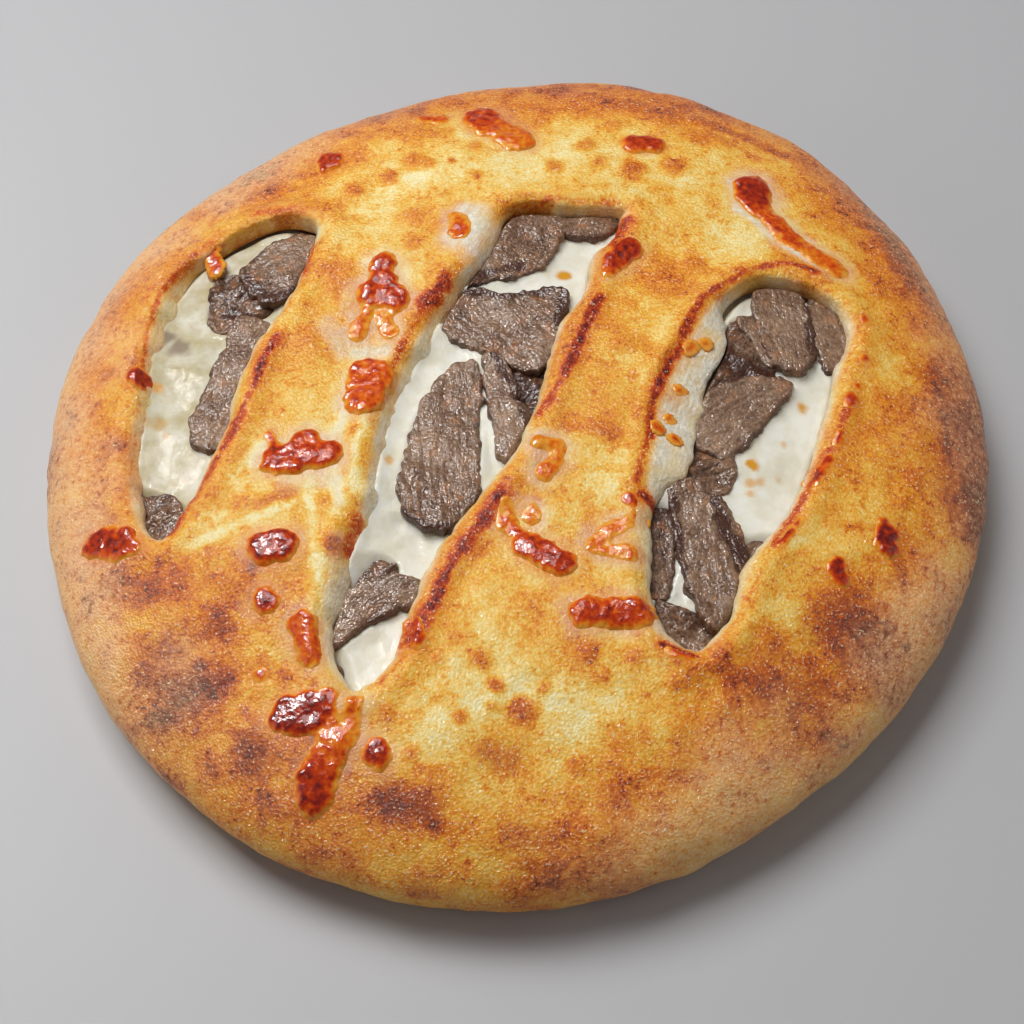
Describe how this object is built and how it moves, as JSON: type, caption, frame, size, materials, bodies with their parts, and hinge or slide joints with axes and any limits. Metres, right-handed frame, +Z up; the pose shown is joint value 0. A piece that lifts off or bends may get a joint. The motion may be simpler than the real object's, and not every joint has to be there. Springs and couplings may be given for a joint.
{
  "type": "stromboli",
  "caption": "Round stuffed bread, whole and baked, with three long slits in its domed crust showing melted cheese and slices of roast beef.",
  "frame": {"origin": "middle of the loaf's bounding box, on the surface it rests on", "axes": "+Z up out of the crust; +X to the right and +Y away from the viewer when the slits lean away to the right"},
  "size_m": [0.257, 0.265, 0.0443],
  "materials": {
    "baked_crust": "baked dough, golden to dark brown, slightly glossy with melted fat",
    "melted_cheese": "melted cheese, ivory white and glossy",
    "roast_beef": "sliced roast beef, grey brown, moist, with darker seared edges"
  },
  "bodies": {
    "root": {"bread": "baked_crust", "cheese": "melted_cheese", "beef_left_1": "roast_beef", "beef_left_2": "roast_beef", "beef_left_3": "roast_beef", "beef_left_4": "roast_beef", "beef_left_5": "roast_beef", "beef_middle_1": "roast_beef", "beef_middle_2": "roast_beef", "beef_middle_3": "roast_beef", "beef_middle_4": "roast_beef", "beef_middle_5": "roast_beef", "beef_middle_6": "roast_beef", "beef_middle_7": "roast_beef", "beef_middle_8": "roast_beef", "beef_middle_9": "roast_beef", "beef_right_1": "roast_beef", "beef_right_2": "roast_beef", "beef_right_3": "roast_beef", "beef_right_4": "roast_beef", "beef_right_5": "roast_beef", "beef_right_6": "roast_beef", "beef_right_7": "roast_beef", "beef_right_8": "roast_beef", "beef_right_9": "roast_beef", "beef_right_10": "roast_beef", "beef_right_11": "roast_beef"}
  },
  "joints": []
}
